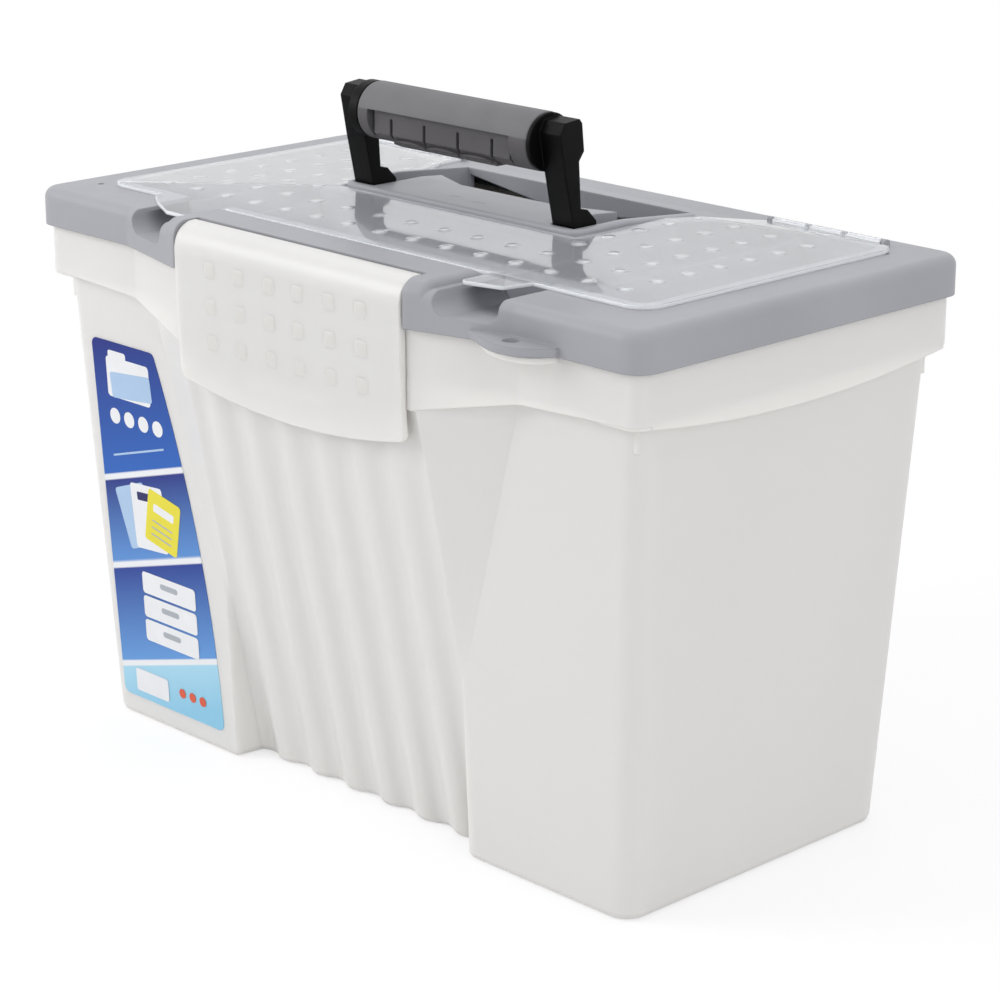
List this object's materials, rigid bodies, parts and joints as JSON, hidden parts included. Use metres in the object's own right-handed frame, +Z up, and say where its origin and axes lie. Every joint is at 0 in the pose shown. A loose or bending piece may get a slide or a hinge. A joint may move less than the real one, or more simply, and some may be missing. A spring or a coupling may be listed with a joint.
{
  "type": "portable file box",
  "caption": "Tapered translucent file box with a hinged lid, organiser tray under a clear cover, front latch, padlock hasp and a fold-down carrying handle.",
  "frame": {"origin": "middle of the flat underside of the bin, on the surface the box stands on", "axes": "+Z up, -Y is the front with the latch and the label, +X runs along the length to the end with the hasp"},
  "size_m": [0.435, 0.2516, 0.3529],
  "materials": {
    "bin_polypropylene": "translucent natural white polypropylene, satin",
    "rail_white": "opaque white plastic, satin",
    "lid_grey": "light grey-blue polypropylene with a fine grain",
    "clear_styrene": "clear plastic sheet with moulded dimples",
    "latch_frosted": "frosted white plastic, slightly glossy",
    "handle_black": "black plastic, satin",
    "grip_grey": "soft mid grey rubber",
    "label_print": "printed paper label, blue gradients, semi-gloss"
  },
  "bodies": {
    "bin": {"bin": "bin_polypropylene", "file_rail_left": "rail_white", "file_rail_right": "rail_white", "label": "label_print", "hinge_pin_left": "lid_grey", "hinge_pin_right": "lid_grey"},
    "lid": {"lid": "lid_grey", "organiser_tray": "lid_grey"},
    "cover": {"tray_cover": "clear_styrene"},
    "latch": {"latch": "latch_frosted"},
    "handle": {"handle_frame": "handle_black", "handle_grip": "grip_grey"}
  },
  "joints": [
    {"name": "lid_hinge", "type": "hinge", "parent": "bin", "child": "lid", "pos_m": [0, 0.119, 0.266], "axis": [-1, 0, 0], "range_deg": [0, 105]},
    {"name": "latch_hinge", "type": "hinge", "parent": "lid", "child": "latch", "pos_m": [0, -0.117, 0.2888], "axis": [-1, 0, 0], "range_deg": [0, 110]},
    {"name": "cover_hinge", "type": "hinge", "parent": "lid", "child": "cover", "pos_m": [0, 0.0944, 0.2915], "axis": [-1, 0, 0], "range_deg": [0, 8]},
    {"name": "handle_fold", "type": "hinge", "parent": "lid", "child": "handle", "pos_m": [0, 0, 0.2895], "axis": [-1, 0, 0], "range_deg": [0, 104]}
  ]
}
